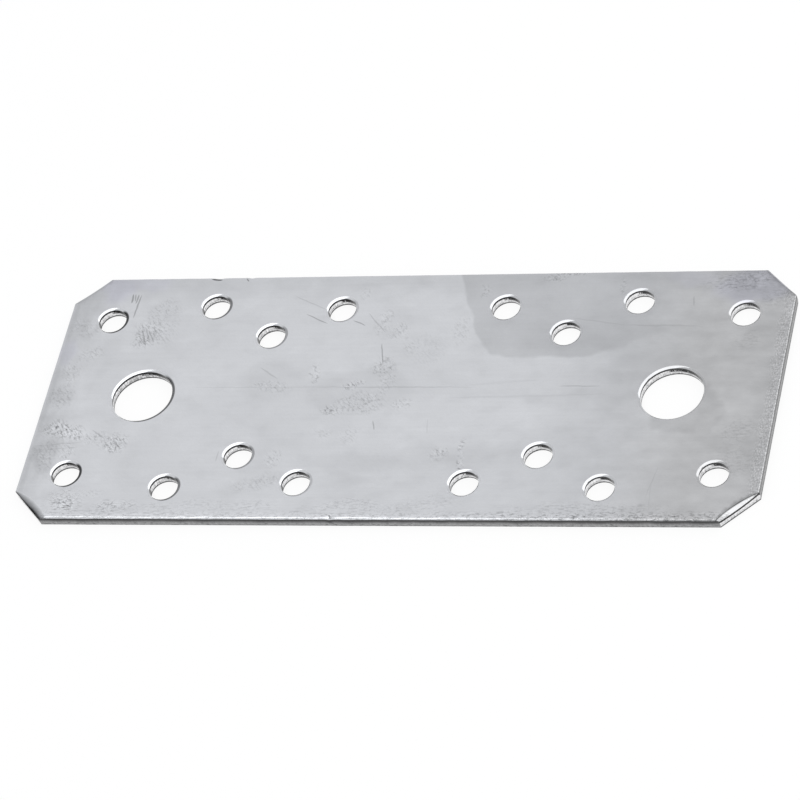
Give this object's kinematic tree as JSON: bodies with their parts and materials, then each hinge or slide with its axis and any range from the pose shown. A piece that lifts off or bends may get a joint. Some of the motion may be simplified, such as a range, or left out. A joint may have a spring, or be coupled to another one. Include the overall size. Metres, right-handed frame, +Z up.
{
  "type": "mending plate",
  "caption": "Flat galvanised steel mending plate with clipped corners, punched nail holes and a bolt hole near each end, for joining timber along or across a joint.",
  "frame": {"origin": "middle of the underside, where the plate lies on a flat surface", "axes": "+X along the plate's length, +Y across its width, +Z up out of the face that the punches entered"},
  "size_m": [0.135, 0.055, 0.002],
  "materials": {
    "galvanised_steel": "zinc-coated cold-rolled sheet, softly glossy, with handling scuffs and scratches; bare bright and torn bands on the sheared edges"
  },
  "bodies": {
    "root": {"mending_plate": "galvanised_steel"}
  },
  "joints": []
}
